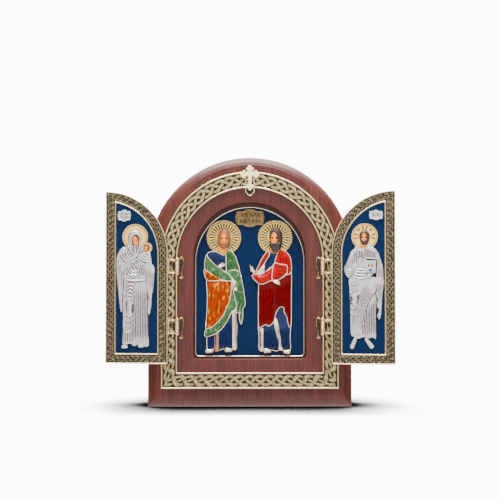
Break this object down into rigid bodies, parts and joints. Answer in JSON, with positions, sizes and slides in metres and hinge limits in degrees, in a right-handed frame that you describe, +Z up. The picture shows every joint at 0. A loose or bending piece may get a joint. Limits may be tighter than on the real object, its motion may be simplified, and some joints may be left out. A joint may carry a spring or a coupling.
{
  "type": "tabletop triptych altarpiece",
  "caption": "Arched wooden tabletop triptych: brass knotwork frame, enamelled niche with relief saints, and hinged quarter-arch doors with silver figures.",
  "frame": {"origin": "middle of the flat underside that the board stands on", "axes": "+X to the viewer's right, +Y towards the back, +Z up; the front with the niche faces -Y"},
  "size_m": [0.2528, 0.0546, 0.22],
  "materials": {
    "board_wood": "satin stained",
    "frame_brass": "aged, dark in the recesses",
    "door_brass": "aged, dark in the recesses",
    "hinge_brass": "aged",
    "cross_gold": "polished pale gold",
    "halo_gold": "gilded",
    "plaque_enamel": "glossy deep blue enamel",
    "amber_robe_enamel": "glossy enamel over cast metal",
    "red_robe_enamel": "glossy enamel over cast metal",
    "figure_silver": "aged silver plate"
  },
  "bodies": {
    "case": {"wooden_board": "board_wood", "knotwork_frame": "frame_brass", "cross": "cross_gold", "niche_plaque": "plaque_enamel", "left_saint": "amber_robe_enamel", "right_saint": "red_robe_enamel", "left_saint_halo": "halo_gold", "right_saint_halo": "halo_gold", "title_cartouche": "frame_brass", "left_upper_hinge_barrel": "hinge_brass", "left_upper_hinge_pin": "hinge_brass", "left_lower_hinge_barrel": "hinge_brass", "left_lower_hinge_pin": "hinge_brass", "right_upper_hinge_barrel": "hinge_brass", "right_upper_hinge_pin": "hinge_brass", "right_lower_hinge_barrel": "hinge_brass", "right_lower_hinge_pin": "hinge_brass"},
    "left_leaf": {"left_door": "door_brass", "left_door_panel": "plaque_enamel", "left_door_figure": "figure_silver", "left_door_halo": "halo_gold", "left_door_cartouche": "figure_silver", "left_upper_hinge_strap": "hinge_brass", "left_lower_hinge_strap": "hinge_brass"},
    "right_leaf": {"right_door": "door_brass", "right_door_panel": "plaque_enamel", "right_door_figure": "figure_silver", "right_door_halo": "halo_gold", "right_door_cartouche": "figure_silver", "right_upper_hinge_strap": "hinge_brass", "right_lower_hinge_strap": "hinge_brass"}
  },
  "joints": [
    {"name": "left_door_hinge", "type": "hinge", "parent": "case", "child": "left_leaf", "pos_m": [-0.0636, -0.02525, 0.1], "axis": [0, 0, 1], "range_deg": [-3.5, 186.5]},
    {"name": "right_door_hinge", "type": "hinge", "parent": "case", "child": "right_leaf", "pos_m": [0.0636, -0.02525, 0.1], "axis": [0, 0, -1], "range_deg": [-19.4, 170.6]}
  ]
}
